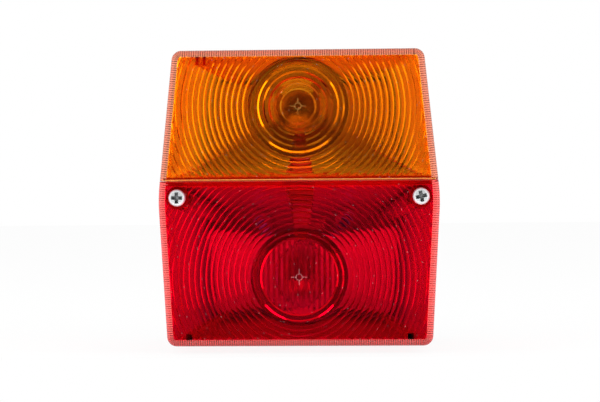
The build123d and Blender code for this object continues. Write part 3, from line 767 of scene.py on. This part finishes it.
def add_mix(tree, share, first, second):
    inputs = {0: share, 1: first.outputs[0], 2: second.outputs[0]}
    return add_node(tree, "ShaderNodeMixShader", inputs)


def between(tree, value, low, high, start=0, end=1):
    """Goes from low to high as the value goes from start to end."""
    inputs = {"Value": value, "From Min": start, "From Max": end, "To Min": low, "To Max": high}
    return add_node(tree, "ShaderNodeMapRange", inputs).outputs["Result"]


def noise(tree, grain, detail=GRAIN_DETAIL):
    place = add_node(tree, "ShaderNodeTexCoord").outputs["Object"]
    inputs = {"Vector": place, "Scale": 1 / grain, "Detail": detail}
    return add_node(tree, "ShaderNodeTexNoise", inputs).outputs["Fac"]


def face_mark(tree, name):
    return add_node(tree, "ShaderNodeAttribute", attribute_name=name).outputs["Fac"]


def specks(tree):
    """Zero in scattered specks of dust on the front of a lens, and one elsewhere."""
    place = add_node(tree, "ShaderNodeTexCoord").outputs["Object"]
    parts = add_node(tree, "ShaderNodeSeparateXYZ", {"Vector": place}).outputs
    flat = add_node(tree, "ShaderNodeCombineXYZ", {"X": parts["X"], "Y": parts["Z"]}).outputs["Vector"]
    inputs = {"Vector": flat, "Scale": 1 / SPECK_SPACING}
    cells = add_node(tree, "ShaderNodeTexVoronoi", inputs, voronoi_dimensions="2D").outputs["Distance"]
    apart = add_math(tree, "GREATER_THAN", cells, SPECK_RADIUS / SPECK_SPACING)
    behind = add_math(tree, "GREATER_THAN", parts["Y"], MARK_DEPTH - LENS_FRONT)
    return add_math(tree, "MAXIMUM", apart, behind)


# Materials

def new_material(name):
    material = bpy.data.materials.new(name)
    material.use_nodes = True
    material.node_tree.nodes.clear()
    return material, material.node_tree


def satin_colour(tree, edge, satin, pale):
    """Colour of the marked faces of a lens: clear; pale in the marks and as painted highlight and painted
    light; dark in the ticks and as painted shade at the joint; and satin.
    """
    ramp = add_node(tree, "ShaderNodeValToRGB", {"Fac": edge})
    elements = ramp.color_ramp.elements
    elements[0].color = rgba(WHITE)
    elements[1].color = rgba(satin)
    elements.new(MARK_AND_PAINTED_LIGHT_SHARE).color = rgba(pale)
    elements.new(TICK_AND_PAINTED_SHADE_SHARE).color = rgba(satin, TICK_AND_PAINTED_SHADE_TONE)
    return ramp.outputs["Color"]


def clear_material(name, gloss, loss=None, sheen=WHITE, satin=None, pale=None):
    """Clear material. The loss is how fast red, green and blue light fade with each millimetre.
    A satin and a pale colour are for a lens, whose faces have marks, some of which are painted highlight,
    painted light and painted shade."""
    material, tree = new_material(name)
    unevenness = noise(tree, GLOSS_GRAIN)
    roughness = between(tree, unevenness, gloss * (1 - GLOSS_SPREAD), gloss * (1 + GLOSS_SPREAD))
    clearness = 1
    colour = rgba(WHITE)
    if satin:
        edge = face_mark(tree, "satin")
        frosted = between(tree, face_mark(tree, "frost"), 0, FROST_ROUGHNESS)
        roughness = add_math(tree, "ADD", roughness, frosted)
        roughness = add_math(tree, "ADD", roughness, between(tree, edge, 0, SATIN_ROUGHNESS))
        dust = between(tree, specks(tree), SPECK_CLEARNESS, 1)
        clearness = add_math(tree, "MINIMUM", between(tree, edge, 1, SATIN_CLEARNESS), dust)
        colour = satin_colour(tree, edge, satin, pale)
    surface = add_node(tree, "ShaderNodeBsdfPrincipled", {
        "Base Color": colour,
        "Transmission Weight": clearness,
        "IOR": CLEAR_IOR,
        "Roughness": roughness,
        "Specular Tint": rgba(sheen),
    })
    nothing = add_node(tree, "ShaderNodeBsdfTransparent")
    in_shadow = add_node(tree, "ShaderNodeLightPath").outputs["Is Shadow Ray"]
    mix = add_mix(tree, in_shadow, surface, nothing)
    output = add_node(tree, "ShaderNodeOutputMaterial", {"Surface": mix.outputs[0]})
    if loss:
        strongest = max(loss)
        passed = [1 - share / strongest for share in loss]
        inputs = {"Color": rgba(passed), "Density": strongest / MM}
        volume = add_node(tree, "ShaderNodeVolumeAbsorption", inputs)
        tree.links.new(volume.outputs[0], output.inputs["Volume"])
    return material


def opaque_material(name, colour, roughness, grain, metallic=0, contrast=0.15, relief=0.1, painted_shade_reach=0):
    """Opaque material whose colour, gloss and relief vary with a fine noise of a given grain. Its last
    argument is the width of the recesses whose colour is darkened by ambient occlusion, as painted shade."""
    material, tree = new_material(name)
    height = noise(tree, grain)
    tone = noise(tree, grain * TONE_SPREAD, TONE_DETAIL)
    ramp = add_node(tree, "ShaderNodeValToRGB", {"Fac": tone})
    for element, share in zip(ramp.color_ramp.elements, (1 - contrast, 1 + contrast)):
        element.color = rgba(colour, share)
    shade = ramp.outputs["Color"]
    # Painted shade: the colour darkens by ambient occlusion in recesses, such as the screws' cross recesses
    if painted_shade_reach:
        inputs = {"Distance": painted_shade_reach}
        openness = add_node(tree, "ShaderNodeAmbientOcclusion", inputs, only_local=True).outputs["AO"]
        inputs = {0: shade, 1: openness}
        shade = add_node(tree, "ShaderNodeVectorMath", inputs, operation="MULTIPLY").outputs["Vector"]
    bump = add_node(tree, "ShaderNodeBump", {"Height": height, "Strength": relief, "Distance": grain / 2})
    surface = add_node(tree, "ShaderNodeBsdfPrincipled", {
        "Base Color": shade,
        "Metallic": metallic,
        "Roughness": between(tree, height, roughness * (1 - contrast), roughness * (1 + contrast)),
        "Normal": bump.outputs["Normal"],
    })
    add_node(tree, "ShaderNodeOutputMaterial", {"Surface": surface.outputs[0]})
    return material


# Finishes by material slot, and by node for a node that has one of its own
CLEAR_FINISHES = {
    "amber_plastic": {
        "gloss": 0.02,
        "loss": (0.015, 0.225, 1.0),
        "satin": (0.66, 0.24, 0.14),
        # Pale in the marks, and a painted gold highlight on the bevel at the joint; the satin colour's dark
        # tone is painted shade on the joint wall
        "pale": (0.9, 0.5, 0.12),
    },
    "red_plastic": {
        "gloss": 0.02,
        "loss": (0.055, 1.5, 0.7),
        "satin": (1, 0.12, 0.11),
        # Pale in the marks, and painted light along the bottom inside corner; the satin colour's dark tone
        # is painted shade on the joint bevel
        "pale": (0.85, 0.45, 0.45),
    },
    "bulb_glass": {"gloss": 0.18, "sheen": (1, 0.5, 0.35)},
}
OPAQUE_FINISHES = {
    "base_plastic": {
        "colour": (0.3, 0.3, 0.295),
        "roughness": 0.42,
        "grain": 0.25 * MM,
        "contrast": 0.09,
    },
    # Painted shade: a dark tone of the reflector plastic, which darkens the amber chamber
    "reflector_plastic": {
        "colour": (0.22, 0.125, 0.07),
        "roughness": 0.35,
        "grain": 0.6 * MM,
        "contrast": 0.05,
        "relief": 0.05,
    },
    # Painted light: the same reflector plastic in a light tone, which brightens the red chamber
    "lower_reflector": {
        "colour": (0.56, 0.46, 0.4),
        "roughness": 0.35,
        "grain": 0.6 * MM,
        "contrast": 0.05,
        "relief": 0.05,
    },
    "screw_zinc": {
        "colour": (0.7, 0.71, 0.72),
        "roughness": 0.42,
        "grain": 0.15 * MM,
        "metallic": 0.7,
        "contrast": 0.1,
        # Painted shade in the cross recesses, by ambient occlusion over this width
        "painted_shade_reach": 2 * MM,
    },
    "cap_metal": {
        "colour": (0.7, 0.33, 0.15),
        "roughness": 0.6,
        "grain": 0.5 * MM,
        "metallic": 1,
        "contrast": 0.1,
    },
    "strip_steel": {"colour": (0.5, 0.42, 0.33), "roughness": 0.6, "grain": 0.4 * MM, "metallic": 0.2},
    "socket_steel": {"colour": (0.3, 0.24, 0.19), "roughness": 0.5, "grain": 0.5 * MM, "metallic": 1},
    "rivet_metal": {"colour": (0.7, 0.7, 0.71), "roughness": 0.35, "grain": 0.3 * MM, "metallic": 1},
    "contact_brass": {"colour": (0.76, 0.56, 0.24), "roughness": 0.3, "grain": 0.6 * MM, "metallic": 1},
    "solder": {"colour": (0.55, 0.56, 0.58), "roughness": 0.45, "grain": 0.4 * MM, "metallic": 1},
    "filament_wire": {"colour": (0.1, 0.1, 0.11), "roughness": 0.5, "grain": 0.1 * MM, "metallic": 1},
    "cap_insulator": {"colour": (0.4, 0.13, 0.1), "roughness": 0.3, "grain": 0.8 * MM},
    "seal_rubber": {"colour": (0.025, 0.025, 0.026), "roughness": 0.7, "grain": 0.2 * MM},
}
materials = {name: clear_material(name, **finish) for name, finish in CLEAR_FINISHES.items()}
for name, finish in OPAQUE_FINISHES.items():
    materials[name] = opaque_material(name, **finish)


# Camera and surroundings

def make_camera():
    data = bpy.data.cameras.new("camera")
    data.sensor_width = CAMERA_SENSOR
    data.lens = CAMERA_SENSOR * CAMERA_FOCAL_PIXELS / FRAME_WIDTH_PIXELS
    camera = bpy.data.objects.new("camera", data)
    bpy.context.scene.collection.objects.link(camera)
    turn = (
        Matrix.Rotation(CAMERA_YAW, 4, "Z")
        @ Matrix.Rotation(CAMERA_PITCH, 4, "X")
        @ Matrix.Rotation(CAMERA_ROLL, 4, "Y")
    )
    camera.matrix_world = (
        Matrix.Translation(CAMERA_TARGET)
        @ turn
        @ Matrix.Translation((0, -CAMERA_DISTANCE, 0))
        @ Matrix.Rotation(radians(90), 4, "X")
    )
    bpy.context.scene.camera = camera


def make_floor():
    """Floor, near white to the camera and in clear and shiny parts. It keeps the lamp's shadow."""
    front = cad_low.y - FLOOR_MARGIN
    corners = [
        (-FLOOR_REACH, front, cad_low.z),
        (FLOOR_REACH, front, cad_low.z),
        (FLOOR_REACH, FLOOR_REACH, cad_low.z),
        (-FLOOR_REACH, FLOOR_REACH, cad_low.z),
    ]
    floor = mesh_object("floor", corners, [(0, 1, 2, 3)])
    material, tree = new_material("floor")
    rays = add_node(tree, "ShaderNodeLightPath").outputs
    optics = add_math(tree, "MAXIMUM", rays["Is Glossy Ray"], rays["Is Transmission Ray"])
    seen = add_math(tree, "MAXIMUM", rays["Is Camera Ray"], optics)
    pale = add_node(tree, "ShaderNodeBsdfDiffuse", {"Color": rgba(FLOOR_COLOUR)})
    glow = add_node(tree, "ShaderNodeEmission")
    mix = add_mix(tree, between(tree, seen, 0, FLOOR_GLOW), pale, glow)
    add_node(tree, "ShaderNodeOutputMaterial", {"Surface": mix.outputs[0]})
    floor.data.materials.append(material)


def make_studio():
    """Soft even light, white to the camera. In clear and shiny parts it is white at the sides, and dark in
    front and straight behind."""
    world = bpy.data.worlds.new("studio")
    bpy.context.scene.world = world
    world.use_nodes = True
    tree = world.node_tree
    tree.nodes.clear()
    rays = add_node(tree, "ShaderNodeLightPath").outputs
    direction = add_node(tree, "ShaderNodeTexCoord").outputs["Generated"]
    forward = add_node(tree, "ShaderNodeSeparateXYZ", {"Vector": direction}).outputs["Y"]
    front = between(tree, forward, FRONT_STRENGTH, 1, FRONT_FADE_START, FRONT_FADE_END)
    behind = between(tree, forward, 1, BACK_STRENGTH, BACK_FADE_START, BACK_FADE_END)
    sides = add_math(tree, "MULTIPLY", front, behind)
    room = add_node(tree, "ShaderNodeBackground", {"Color": rgba(WHITE), "Strength": sides})
    soft = add_node(tree, "ShaderNodeBackground", {"Color": rgba(WHITE), "Strength": SOFT_STRENGTH})
    paper = add_node(tree, "ShaderNodeBackground", {"Color": rgba(WHITE)})
    optics = add_math(tree, "MAXIMUM", rays["Is Glossy Ray"], rays["Is Transmission Ray"])
    mix = add_mix(tree, rays["Is Camera Ray"], add_mix(tree, optics, soft, room), paper)
    add_node(tree, "ShaderNodeOutputWorld", {"Surface": mix.outputs[0]})


def add_lamp(place, size, power):
    """Large soft lamp, which isn't mirrored in shiny parts."""
    data = bpy.data.lights.new("lamp", "AREA")
    data.shape = "RECTANGLE"
    data.size, data.size_y = size
    data.energy = power
    lamp = bpy.data.objects.new("lamp", data)
    bpy.context.scene.collection.objects.link(lamp)
    lamp.location = place
    lamp.visible_glossy = False
    lamp.rotation_euler = (LAMP_AIM - lamp.location).to_track_quat("-Z", "Y").to_euler()


# The whole

def dress(piece, node, slot):
    """Shows a piece in the place of a node, in the material of its slot."""
    piece.data.materials.clear()
    piece.data.materials.append(materials[slot])
    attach(piece, "root")
    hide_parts(node)


for part in frame["record"]["subparts"]:
    solid = frame["nodes"][part["node"]]
    solid.data.materials.clear()
    solid.data.materials.append(materials.get(part["node"], materials[part["material_slot"]]))

dress(make_amber_lens(), "amber_lens", "amber_plastic")
dress(make_red_lens(), "red_lens", "red_plastic")
screws = [make_screw((side * SCREW_X, SCREW_Z), turn) for side, turn in zip((-1, 1), SCREW_TURNS)]
dress(join("cross_recess_screws", screws), "lens_screws", "screw_zinc")
single = make_filament("indicator_bulb_filament", AMBER_AXIS_Z, (0,))
dress(single, "indicator_bulb_filament", "filament_wire")
pair = make_filament("stop_tail_bulb_filaments", RED_AXIS_Z, (-FILAMENT_SPACING / 2, FILAMENT_SPACING / 2))
dress(pair, "stop_tail_bulb_filaments", "filament_wire")

make_camera()
make_floor()
make_studio()
for side in (-1, 1):
    add_lamp((side * SIDE_LAMP_X, SIDE_LAMP_Y, SIDE_LAMP_Z), SIDE_LAMP_SIZE, SIDE_LAMP_POWER)
add_lamp(LOW_LAMP_PLACE, LOW_LAMP_SIZE, LOW_LAMP_POWER)

bpy.context.scene.view_settings.view_transform = "Standard"
